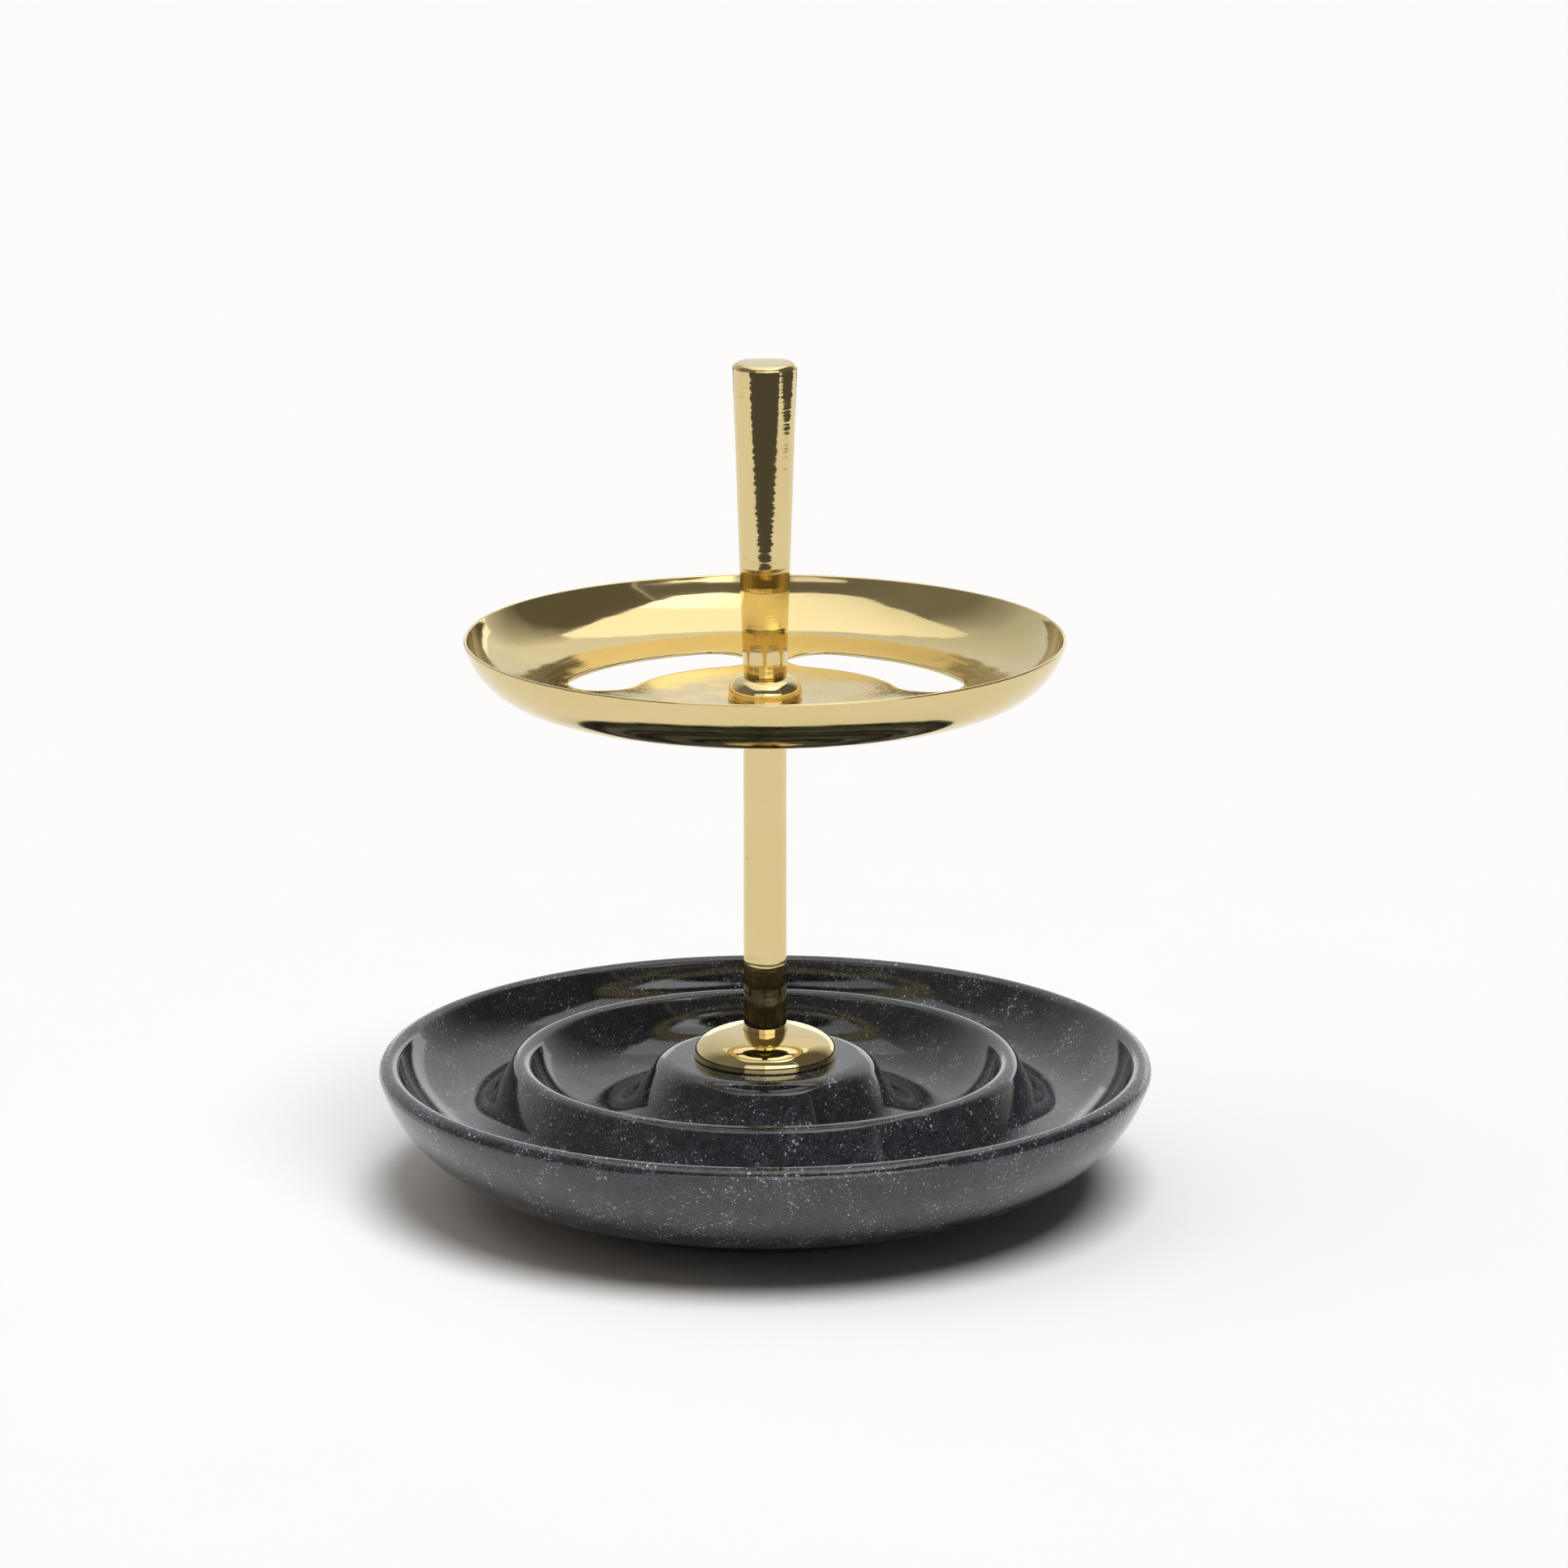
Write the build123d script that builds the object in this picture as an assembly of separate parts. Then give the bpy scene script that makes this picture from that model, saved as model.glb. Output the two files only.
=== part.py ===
from build123d import *
import os
from math import asin, atan2, cos, degrees, hypot, radians, sin, tan

# Pen stand: a turned granite bowl carries a brass stem, a slotted brass dish and a tapered handle.
# Millimetres, +Z up. The origin is the middle of the felt pad's underside, where the stand meets the desk.

# Stone bowl, all in section
bowl_radius = 70.0           # outermost, at the lip
bowl_height = 24.5           # foot to crest
lip_round = 1.9              # bullnose of the lip
wall_lean = 17.7             # degrees from vertical, where the wall leaves the lip
foot_rise = 18.5             # degrees from horizontal, where the wall leaves the foot
foot_inset = 32.0            # from the bowl's outermost radius in to the foot
foot_round = 0.8
outer_groove_width = 23.9    # from the ring's crest to the lip's crest
outer_groove_depth = 9.6
inner_groove_depth = 10.0
groove_lean = 28.0           # degrees from vertical, of the steep wall on a groove's inner side
groove_corner = 5.0          # between the steep wall and the sweep on a groove's outer side
ring_round = 2.0             # bullnose of the ring between the grooves
hub_radius = 15.9            # flat seat in the middle
hub_round = 4.0              # shoulder of the hub

# Felt pad under the foot
pad_thickness = 1.5
pad_inset = 2.0              # from the foot's edge

# Screw and washers that hold the stem down, in a recess under the hub
screw_radius = 2.0
screw_head_radius = 4.0
screw_head_height = 2.8
screw_head_round = 1.0
screw_grip = 10.0            # length held in the stem
screw_slot_width = 1.0
screw_slot_depth = 1.2
lock_washer_radius = 3.8
lock_washer_thickness = 1.0
lock_washer_split = 1.0
base_washer_radius = 8.0
base_washer_thickness = 1.2
recess_margin = 1.5          # round the washer, and below the screw's head

# Domed brass foot plate on the hub
flange_radius = 12.9
flange_thickness = 5.0       # in the middle
flange_edge = 0.9            # upright edge under the dome
flange_flat = 1.0            # level ring round the stem's seat
flange_foot_edge = 0.25
flange_socket = 2.0          # depth of the seat that centres the stem

# Brass stem
stem_radius = 3.9
stem_exposed = 61.0          # from the foot plate to the dish
stem_edge = 0.3              # chamfer at both ends

# Spun brass dish
dish_radius = 53.8           # at the rim, outside
dish_depth = 11.5            # floor's underside to the rim, outside
dish_sheet = 0.6
dish_rim_lean = 14.2         # degrees from vertical, at the rim
dish_floor_rise = 14.0       # degrees from horizontal, where the floor's sweep meets the wall
dish_floor_sweep = 57.0      # section radius where the floor starts to rise
slot_count = 4
slot_width = 12.8
slot_inset = 16.4            # from the rim in to the slots' outer edge
slot_web = 7.0               # narrowest brass between two slots
slot_turn = 44.0             # degrees from +X to the middle of the first slot

# Domed collar over the dish's hole
collar_radius = 6.65
collar_height = 4.1
collar_band = 1.1            # upright edge under the dome
collar_foot_edge = 0.25

# Tapered handle
handle_foot_radius = 3.9
handle_top_radius = 5.75
handle_length = 56.8
handle_top_round = 1.0
handle_foot_edge = 0.3

# Stud that joins the stem and the handle
stud_radius = 2.0
stud_grip = 10.0             # length held in the stem, and in the handle
thread_edge = 0.4            # chamfer on the ends of stud and screw

# Fits
thread_clearance = 0.1       # stud or screw in its tapped hole, radial
hole_clearance = 0.25        # stud or screw through a plain hole, radial
socket_clearance = 0.1       # stem in the foot plate's seat, radial
bore_relief = 2.0            # tapped hole beyond the end of the thread

# Levels, from the desk up
crest_z = pad_thickness + bowl_height
recess_depth = base_washer_thickness + lock_washer_thickness + screw_head_height + recess_margin
recess_z = pad_thickness + recess_depth
stem_z = crest_z + flange_thickness - flange_socket
dish_z = crest_z + flange_thickness + stem_exposed
collar_z = dish_z + dish_sheet
handle_z = collar_z + collar_height

# Radii shared by several pieces
foot_radius = bowl_radius - foot_inset
recess_radius = base_washer_radius + recess_margin
screw_hole = screw_radius + hole_clearance
stud_hole = stud_radius + hole_clearance
screw_bore = screw_radius + thread_clearance
stud_bore = stud_radius + thread_clearance


def at(centre, radius, angle):
    """Point of a circle in the section, at an angle in degrees from the outward direction."""
    return (centre[0] + radius * cos(radians(angle)), centre[1] + radius * sin(radians(angle)))


def arc(centre, radius, start, end):
    """Arc of a circle in the section, from one angle to another, either way round."""
    return ThreePointArc(*(at(centre, radius, angle) for angle in (start, (start + end) / 2, end)))


def turned(outline):
    """Solid turned about the Z axis from a closed outline of radius and height."""
    return revolve(Plane.XZ * make_face(outline), Axis.Z)


def turned_polygon(*corners):
    """Solid turned from an outline with straight sides."""
    return turned(Polyline(*corners, close=True).edges())


def groove(inner, inner_round, outer, outer_round, depth):
    """Outline of a groove between two crests, and the angle at which it meets the outer crest.

    A steep wall runs down smoothly from the inner crest's bullnose and turns a tight corner into a
    long sweep, which rises from the deepest point and runs smoothly into the outer crest's bullnose.
    """
    floor_z = crest_z - depth
    corner_z = floor_z + groove_corner
    lean = radians(groove_lean)
    wall_run = inner_round + groove_corner + (inner[1] - corner_z) * sin(lean)
    deepest = inner[0] + wall_run / cos(lean)
    run = outer[0] - deepest
    rise = outer[1] - floor_z
    sweep_radius = (run ** 2 + rise ** 2 - outer_round ** 2) / (2 * (rise + outer_round))
    corner = (deepest, corner_z)
    sweep = (deepest, floor_z + sweep_radius)
    sweep_end = degrees(atan2(rise - sweep_radius, run))
    outline = [
        Line(at(inner, inner_round, groove_lean), at(corner, groove_corner, 180 + groove_lean)),
        arc(corner, groove_corner, 180 + groove_lean, 270),
        arc(sweep, sweep_radius, -90, sweep_end),
    ]
    return outline, 180 + sweep_end


def stone_base():
    """Granite bowl: hub, inner groove, ring, outer groove and lip, drilled and recessed from below."""
    hub = (hub_radius, crest_z - hub_round)
    lip = (bowl_radius - lip_round, crest_z - lip_round)
    ring = (lip[0] - outer_groove_width, crest_z - ring_round)
    inner_groove, ring_start = groove(hub, hub_round, ring, ring_round, inner_groove_depth)
    outer_groove, lip_start = groove(ring, ring_round, lip, lip_round, outer_groove_depth)

    # The wall is an arc that leaves the lip at wall_lean and runs into the cone rising from the foot.
    foot = (foot_radius, pad_thickness)
    lip_end = at(lip, lip_round, -wall_lean)
    lean = tan(radians(wall_lean))
    rise = tan(radians(foot_rise))
    corner_run = (lip_end[0] - foot[0] - lean * (lip_end[1] - foot[1])) / (1 - lean * rise)
    corner = (foot[0] + corner_run, foot[1] + corner_run * rise)
    tangent = hypot(lip_end[0] - corner[0], lip_end[1] - corner[1])
    wall_radius = tangent / tan(radians(90 - wall_lean - foot_rise) / 2)
    wall = at(lip_end, -wall_radius, -wall_lean)
    wall_end = at(wall, wall_radius, foot_rise - 90)

    outline = [
        Line((screw_hole, crest_z), (hub_radius, crest_z)),
        arc(hub, hub_round, 90, groove_lean),
        *inner_groove,
        arc(ring, ring_round, ring_start, groove_lean),
        *outer_groove,
        arc(lip, lip_round, lip_start, 90),
        arc(lip, lip_round, 90, -wall_lean),
        arc(wall, wall_radius, -wall_lean, foot_rise - 90),
        Line(wall_end, foot),
        Line(foot, (recess_radius, pad_thickness)),
        Line((recess_radius, pad_thickness), (recess_radius, recess_z)),
        Line((recess_radius, recess_z), (screw_hole, recess_z)),
        Line((screw_hole, recess_z), (screw_hole, crest_z)),
    ]
    bowl = turned(outline)
    foot_edge = bowl.edges().group_by(Axis.Z)[0].sort_by(SortBy.RADIUS)[-1]
    return fillet(foot_edge, foot_round)


def base_pad():
    """Felt disc under the foot."""
    return Cylinder(foot_radius - pad_inset, pad_thickness, align=(Align.CENTER, Align.CENTER, Align.MIN))


def ring_plate(outer, inner, bottom, thickness):
    """Flat ring lying at a level."""
    top = bottom + thickness
    return turned_polygon((inner, bottom), (outer, bottom), (outer, top), (inner, top))


def base_washer():
    """Wide flat washer against the recess's ceiling."""
    return ring_plate(base_washer_radius, screw_hole, recess_z - base_washer_thickness, base_washer_thickness)


def lock_washer():
    """Spring washer, pressed flat, with its split."""
    bottom = recess_z - base_washer_thickness - lock_washer_thickness
    ring = ring_plate(lock_washer_radius, screw_hole, bottom, lock_washer_thickness)
    split = Box(
        lock_washer_radius * 2, lock_washer_split, lock_washer_thickness * 2,
        align=(Align.MIN, Align.CENTER, Align.CENTER),
    )
    return ring - Pos(0, 0, bottom) * split


def base_screw():
    """Slotted pan-head screw, head down, held in the stem's lower end."""
    seat = recess_z - base_washer_thickness - lock_washer_thickness
    bottom = seat - screw_head_height
    tip = stem_z + screw_grip
    crown = (screw_head_radius - screw_head_round, bottom + screw_head_round)
    outline = [
        Line((0, bottom), (crown[0], bottom)),
        arc(crown, screw_head_round, -90, 0),
        Line((screw_head_radius, crown[1]), (screw_head_radius, seat)),
        Line((screw_head_radius, seat), (screw_radius, seat)),
        Line((screw_radius, seat), (screw_radius, tip - thread_edge)),
        Line((screw_radius, tip - thread_edge), (screw_radius - thread_edge, tip)),
        Line((screw_radius - thread_edge, tip), (0, tip)),
        Line((0, tip), (0, bottom)),
    ]
    slot = Box(screw_head_radius * 2, screw_slot_width, screw_slot_depth * 2)
    return turned(outline) - Pos(0, 0, bottom) * slot


def foot_flange():
    """Domed foot plate, drilled for the screw and seated for the stem."""
    top = crest_z + flange_thickness
    edge_z = crest_z + flange_edge
    foot = flange_radius - flange_foot_edge
    seat = stem_radius + socket_clearance
    flat = seat + flange_flat
    dome = EllipticalCenterArc((flat, edge_z), flange_radius - flat, top - edge_z, 0, arc_size=90)
    outline = [
        Line((screw_hole, crest_z), (foot, crest_z)),
        Line((foot, crest_z), (flange_radius, crest_z + flange_foot_edge)),
        Line((flange_radius, crest_z + flange_foot_edge), (flange_radius, edge_z)),
        dome,
        Line((flat, top), (seat, top)),
        Line((seat, top), (seat, stem_z)),
        Line((seat, stem_z), (screw_hole, stem_z)),
        Line((screw_hole, stem_z), (screw_hole, crest_z)),
    ]
    return turned(outline)


def lower_stem():
    """Plain bar with a tapped hole in each end."""
    foot_bore = stem_z + screw_grip + bore_relief
    top_bore = dish_z - stud_grip - bore_relief
    bar = turned_polygon(
        (0, stem_z), (stem_radius - stem_edge, stem_z), (stem_radius, stem_z + stem_edge),
        (stem_radius, dish_z - stem_edge), (stem_radius - stem_edge, dish_z), (0, dish_z),
    )
    foot_hole = turned_polygon((0, stem_z), (screw_bore, stem_z), (screw_bore, foot_bore), (0, foot_bore))
    top_hole = turned_polygon((0, top_bore), (stud_bore, top_bore), (stud_bore, dish_z), (0, dish_z))
    return bar - foot_hole - top_hole


def dish():
    """Dish of even sheet: flat middle, sweeping floor, rounded wall and rim, and arc slots."""
    steep = 90 - dish_rim_lean
    floor_height = dish_floor_sweep * (1 - cos(radians(dish_floor_rise)))
    wall_cosines = cos(radians(dish_floor_rise)) - cos(radians(steep))
    wall_radius = (dish_depth - floor_height) / wall_cosines
    rim_z = dish_z + dish_depth
    wall = (dish_radius - wall_radius * sin(radians(steep)), rim_z + wall_radius * cos(radians(steep)))
    flat_radius = wall[0] - (dish_floor_sweep - wall_radius) * sin(radians(dish_floor_rise))
    sweep = (flat_radius, dish_z + dish_floor_sweep)
    rim = at(wall, wall_radius - dish_sheet / 2, steep - 90)

    outline = [
        Line((stud_hole, dish_z), (flat_radius, dish_z)),
        arc(sweep, dish_floor_sweep, -90, dish_floor_rise - 90),
        arc(wall, wall_radius, dish_floor_rise - 90, steep - 90),
        arc(rim, dish_sheet / 2, steep - 90, steep),
        arc(rim, dish_sheet / 2, steep, steep + 90),
        arc(wall, wall_radius - dish_sheet, steep - 90, dish_floor_rise - 90),
        arc(sweep, dish_floor_sweep - dish_sheet, dish_floor_rise - 90, -90),
        Line((flat_radius, collar_z), (stud_hole, collar_z)),
        Line((stud_hole, collar_z), (stud_hole, dish_z)),
    ]

    slot_ring = dish_radius - slot_inset - slot_width / 2
    slot_pitch = 360 / slot_count
    slot_span = slot_pitch - 2 * degrees(asin((slot_web + slot_width) / (2 * slot_ring)))
    spine = CenterArc((0, 0), slot_ring, -slot_span / 2, slot_span)
    cutter = Pos(0, 0, dish_z) * extrude(SlotArc(spine, slot_width), dish_depth, both=True)
    cutters = [Rot(0, 0, slot_turn + slot_pitch * number) * cutter for number in range(slot_count)]
    return turned(outline) - cutters


def collar():
    """Domed ring, as wide at the top as the handle's foot."""
    top = collar_z + collar_height
    band_z = collar_z + collar_band
    dome = EllipticalCenterArc(
        (handle_foot_radius, band_z), collar_radius - handle_foot_radius, collar_height - collar_band, 0,
        arc_size=90,
    )
    foot = collar_radius - collar_foot_edge
    outline = [
        Line((stud_hole, collar_z), (foot, collar_z)),
        Line((foot, collar_z), (collar_radius, collar_z + collar_foot_edge)),
        Line((collar_radius, collar_z + collar_foot_edge), (collar_radius, band_z)),
        dome,
        Line((handle_foot_radius, top), (stud_hole, top)),
        Line((stud_hole, top), (stud_hole, collar_z)),
    ]
    return turned(outline)


def handle_stud():
    """Threaded stud with chamfered ends."""
    bottom = dish_z - stud_grip
    top = handle_z + stud_grip
    end = stud_radius - thread_edge
    return turned_polygon(
        (0, bottom), (end, bottom), (stud_radius, bottom + thread_edge),
        (stud_radius, top - thread_edge), (end, top), (0, top),
    )


def handle():
    """Solid bar, wider at the top, with a rounded top edge and a tapped hole in its foot."""
    top = handle_z + handle_length
    bore_top = handle_z + stud_grip + bore_relief
    bar = turned_polygon(
        (0, handle_z), (handle_foot_radius - handle_foot_edge, handle_z),
        (handle_foot_radius, handle_z + handle_foot_edge), (handle_top_radius, top), (0, top),
    )
    bar = fillet(bar.edges().group_by(Axis.Z)[-1], handle_top_round)
    bore = turned_polygon((0, handle_z), (stud_bore, handle_z), (stud_bore, bore_top), (0, bore_top))
    return bar - bore


pieces = [
    base_pad, stone_base, base_screw, lock_washer, base_washer, foot_flange,
    lower_stem, dish, collar, handle_stud, handle,
]

os.makedirs("parts", exist_ok=True)
for piece in pieces:
    export_step(piece(), f"parts/{piece.__name__}.step")
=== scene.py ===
import math

import bmesh
import bpy
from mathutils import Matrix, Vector
from mathutils.geometry import delaunay_2d_cdt


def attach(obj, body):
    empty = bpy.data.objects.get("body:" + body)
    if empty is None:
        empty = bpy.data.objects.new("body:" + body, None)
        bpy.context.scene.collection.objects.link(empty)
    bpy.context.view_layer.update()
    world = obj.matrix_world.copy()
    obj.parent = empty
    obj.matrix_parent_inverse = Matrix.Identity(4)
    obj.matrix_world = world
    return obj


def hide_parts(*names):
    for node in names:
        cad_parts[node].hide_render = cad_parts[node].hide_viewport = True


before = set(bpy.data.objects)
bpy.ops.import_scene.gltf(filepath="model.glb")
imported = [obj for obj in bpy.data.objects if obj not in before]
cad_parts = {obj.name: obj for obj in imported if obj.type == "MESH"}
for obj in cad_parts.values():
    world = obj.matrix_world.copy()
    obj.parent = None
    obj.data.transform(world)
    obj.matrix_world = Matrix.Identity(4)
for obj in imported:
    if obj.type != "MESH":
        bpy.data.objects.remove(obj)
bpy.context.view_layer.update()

# Felt disc. Pressed wool felt, die cut from sheet and glued under the stone's foot,
# so that the stand doesn't scratch the desk. Wear has softened its edges.

MM = 0.001
PAD_RADIUS = 36.0             # in millimetres, as are all sizes below
PAD_THICKNESS = 1.5
PAD_EDGE = 0.45
TURN_STEPS = 256              # faces round a turned piece
WELD = 0.002                  # points of a mesh closer than this become one
SAME_POINT = 1e-6             # points of an outline closer than this are one
CRISP_CORNER = 35.0           # degrees between two faces, past which their edge shows


def linear(code):
    """Linear colour of an sRGB hex value."""
    parts = [int(code[place:place + 2], 16) / 255 for place in (1, 3, 5)]
    return [
        part / 12.92 if part <= 0.04045 else ((part + 0.055) / 1.055) ** 2.4 for part in parts
    ] + [1.0]


def add(tree, kind, inputs=(), **settings):
    """Adds a node to a tree, with its settings, and with values or links for its inputs."""
    node = tree.nodes.new(kind)
    for name, value in settings.items():
        setattr(node, name, value)
    for name, value in dict(inputs).items():
        if isinstance(value, bpy.types.NodeSocket):
            tree.links.new(value, node.inputs[name])
        else:
            node.inputs[name].default_value = value
    return node


def new_material(name):
    """Empty node material and its tree."""
    material = bpy.data.materials.new(name)
    material.use_nodes = True
    material.node_tree.nodes.clear()
    return material, material.node_tree


# Wool felt: fibres of all directions pressed flat, dull, with a faint mottle of darker and
# paler wool.
felt, tree = new_material("pressed_wool_felt")
place = add(tree, "ShaderNodeTexCoord").outputs["Object"]
fibre = add(tree, "ShaderNodeTexNoise", {
    "Vector": place, "Scale": 1 / (0.35 * MM), "Detail": 4.0, "Roughness": 0.7, "Distortion": 1.5,
})
mottle = add(tree, "ShaderNodeTexNoise", {"Vector": place, "Scale": 1 / (6 * MM), "Detail": 2.0})
wool = add(tree, "ShaderNodeMix", {
    0: mottle.outputs["Fac"], 6: linear("#15171a"), 7: linear("#2b2e33"),
}, data_type="RGBA")
nap = add(tree, "ShaderNodeBump", {"Height": fibre.outputs["Fac"], "Distance": 0.15 * MM})
shader = add(tree, "ShaderNodeBsdfPrincipled", {
    "Base Color": wool.outputs[2], "Roughness": 0.95, "Sheen Weight": 0.25, "Sheen Roughness": 0.5,
    "Normal": nap.outputs["Normal"],
})
add(tree, "ShaderNodeOutputMaterial", {"Surface": shader.outputs["BSDF"]})


def at(centre, radius, angle):
    """Point of a circle in the section, at an angle in degrees from the outward direction."""
    return (
        centre[0] + radius * math.cos(math.radians(angle)),
        centre[1] + radius * math.sin(math.radians(angle)),
    )


def bend(centre, radius, start, end, step=4.0):
    """Points along an arc of the section, at most a step of degrees apart, with both its ends."""
    count = max(2, math.ceil(abs(end - start) / step))
    return [
        at(centre, radius, start + (end - start) * number / count) for number in range(count + 1)
    ]


def turning_tree():
    """Geometry Nodes lathe: turns an outline of radius X and height Z about the Z axis."""
    tree = bpy.data.node_groups.new("turned_on_a_lathe", "GeometryNodeTree")
    face = tree.interface
    face.new_socket("Outline", in_out="INPUT", socket_type="NodeSocketGeometry")
    steps = face.new_socket("Steps round", in_out="INPUT", socket_type="NodeSocketInt")
    finish = face.new_socket("Material", in_out="INPUT", socket_type="NodeSocketMaterial")
    face.new_socket("Turned", in_out="OUTPUT", socket_type="NodeSocketGeometry")
    given = add(tree, "NodeGroupInput").outputs
    size = add(tree, "GeometryNodeAttributeDomainSize", {"Geometry": given["Outline"]})
    points = size.outputs["Point Count"]
    columns = add(tree, "FunctionNodeIntegerMath", {0: given["Steps round"], 1: 1}, operation="ADD")
    grid = add(tree, "GeometryNodeMeshGrid", {
        "Vertices X": columns.outputs[0], "Vertices Y": points,
    })
    index = add(tree, "GeometryNodeInputIndex").outputs["Index"]
    column = add(tree, "FunctionNodeIntegerMath", {0: index, 1: points}, operation="DIVIDE_FLOOR")
    row = add(tree, "FunctionNodeIntegerMath", {0: index, 1: points}, operation="MODULO")
    position = add(tree, "GeometryNodeInputPosition").outputs["Position"]
    section = add(tree, "GeometryNodeSampleIndex", {
        "Geometry": given["Outline"], "Value": position, "Index": row.outputs[0],
    }, data_type="FLOAT_VECTOR")
    share = add(tree, "ShaderNodeMath", {
        0: column.outputs[0], 1: given["Steps round"],
    }, operation="DIVIDE")
    angle = add(tree, "ShaderNodeMath", {0: share.outputs[0], 1: 2 * math.pi}, operation="MULTIPLY")
    turned = add(tree, "ShaderNodeVectorRotate", {
        "Vector": section.outputs[0], "Angle": angle.outputs[0],
    }, rotation_type="Z_AXIS")
    placed = add(tree, "GeometryNodeSetPosition", {
        "Geometry": grid.outputs["Mesh"], "Position": turned.outputs[0],
    })
    closed = add(tree, "GeometryNodeMergeByDistance", {
        "Geometry": placed.outputs[0], "Distance": WELD * MM,
    })
    smooth = add(tree, "GeometryNodeSetShadeSmooth", {"Geometry": closed.outputs[0]})
    whole = add(tree, "GeometryNodeRealizeInstances", {"Geometry": smooth.outputs[0]})
    named = add(tree, "GeometryNodeSetMaterial", {
        "Geometry": whole.outputs[0], "Material": given["Material"],
    })
    add(tree, "NodeGroupOutput", {"Turned": named.outputs[0]})
    return tree, steps.identifier, finish.identifier


lathe, lathe_steps, lathe_finish = turning_tree()


def made_plain(piece):
    """Bakes a piece's modifier into a plain mesh that faces outwards and keeps its corners."""
    shape = piece.evaluated_get(bpy.context.evaluated_depsgraph_get())
    mesh = bpy.data.meshes.new_from_object(shape)
    piece.modifiers.clear()
    piece.data = mesh
    edit = bmesh.new()
    edit.from_mesh(mesh)
    bmesh.ops.recalc_face_normals(edit, faces=edit.faces)
    edit.to_mesh(mesh)
    edit.free()
    mesh.set_sharp_from_angle(angle=math.radians(CRISP_CORNER))
    return piece


def turn(name, outline, material):
    """Piece turned from an outline of radius and height in millimetres.

    An outline that starts away from the axis is closed round the piece's bore.
    """
    points = [
        point for number, point in enumerate(outline)
        if math.dist(point, outline[number - 1]) > SAME_POINT
    ]
    if outline[0][0] > 0:
        points = [outline[0]] + [point for point in points if point != outline[0]] + [outline[0]]
    mesh = bpy.data.meshes.new(name)
    mesh.from_pydata([(radius * MM, 0, height * MM) for radius, height in points], [], [])
    piece = bpy.data.objects.new(name, mesh)
    bpy.context.scene.collection.objects.link(piece)
    modifier = piece.modifiers.new("lathe", "NODES")
    modifier.node_group = lathe
    modifier[lathe_steps] = TURN_STEPS
    modifier[lathe_finish] = material
    return made_plain(piece)


pad_rim = PAD_RADIUS - PAD_EDGE
pad = turn("felt_disc", (
    [(0, 0)]
    + bend((pad_rim, PAD_EDGE), PAD_EDGE, -90, 0, 15)
    + bend((pad_rim, PAD_THICKNESS - PAD_EDGE), PAD_EDGE, 0, 90, 15)
    + [(0, PAD_THICKNESS)]
), felt)
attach(pad, "root")
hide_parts("base_pad")

# Stone bowl. One block of black granite, turned to a saucer with a hub and two round grooves,
# then polished all over. The stem's screw comes up through it from a recess under the hub.

CREST = 26.0                  # above the desk, as are all levels below
BOWL_RADIUS = 70.0
LIP_ROUND = 1.9
WALL_LEAN = 17.7              # degrees from upright, of the outer wall under the lip
FOOT_RISE = 18.5              # degrees from level, of the outer wall at the foot
FOOT = (38.0, 1.5)            # radius and level of the foot's edge
FOOT_ROUND = 0.8
RING_RADIUS = 44.2
RING_ROUND = 2.0
HUB_RADIUS = 16.8
HUB_ROUND = 4.0
INNER_DEPTH = 10.0
OUTER_DEPTH = 9.6
INNER_LEAN = 32.0             # degrees from upright, of a groove's inner wall
INNER_CORNER = 7.0            # radius between that wall and the groove's sweep
OUTER_LEAN = 28.0
OUTER_CORNER = 5.0
RECESS_RADIUS = 9.5
RECESS_LEVEL = 8.0
SCREW_HOLE = 2.25


def groove(inner, inner_round, outer, outer_round, depth, wall_lean, turn_round):
    """Section of a groove between two crests, and the angle at which it leaves the outer one.

    It sweeps down from the outer crest and turns a tight corner into the inner crest's
    straight wall.
    """
    floor = CREST - depth
    corner_level = floor + turn_round
    lean = math.radians(wall_lean)
    inner_run = inner_round + turn_round + (inner[1] - corner_level) * math.sin(lean)
    lowest = inner[0] + inner_run / math.cos(lean)
    run = outer[0] - lowest
    rise = outer[1] - floor
    sweep_radius = (run ** 2 + rise ** 2 - outer_round ** 2) / (2 * (rise + outer_round))
    end = math.degrees(math.atan2(rise - sweep_radius, run))
    return (
        bend((lowest, floor + sweep_radius), sweep_radius, end, -90)
        + bend((lowest, corner_level), turn_round, 270, 180 + wall_lean)
    ), 180 + end


# Polished black granite: a near-black, glassy ground clouded with bluish grey, salted with fine
# pale grains in drifts, and with ragged pale chips of feldspar, up to a millimetre long, that lie
# all ways. The polish is mirror smooth in the grooves, and the wheel left the narrow lip uneven.
granite, tree = new_material("polished_black_granite")
place = add(tree, "ShaderNodeTexCoord").outputs["Object"]
clouds = add(tree, "ShaderNodeTexNoise", {
    "Vector": place, "Scale": 1 / (1.8 * MM), "Detail": 5.0, "Roughness": 0.75,
})
drifts = add(tree, "ShaderNodeTexNoise", {"Vector": place, "Scale": 1 / (6 * MM), "Detail": 2.0})
salt = add(tree, "ShaderNodeTexNoise", {
    "Vector": place, "Scale": 1 / (0.4 * MM), "Detail": 3.0, "Roughness": 0.7,
})
salted = add(tree, "ShaderNodeMath", {
    0: drifts.outputs["Fac"], 1: 0.35, 2: salt.outputs["Fac"],
}, operation="MULTIPLY_ADD")
grain = add(tree, "ShaderNodeMapRange", {
    "Value": salted.outputs[0], "From Min": 0.7, "From Max": 1.1,
})
ragged = add(tree, "ShaderNodeVectorMath", {
    0: salt.outputs["Color"], "Scale": 0.5 * MM,
}, operation="SCALE")
wander = add(tree, "ShaderNodeVectorMath", {0: place, 1: ragged.outputs[0]}, operation="ADD")
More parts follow.
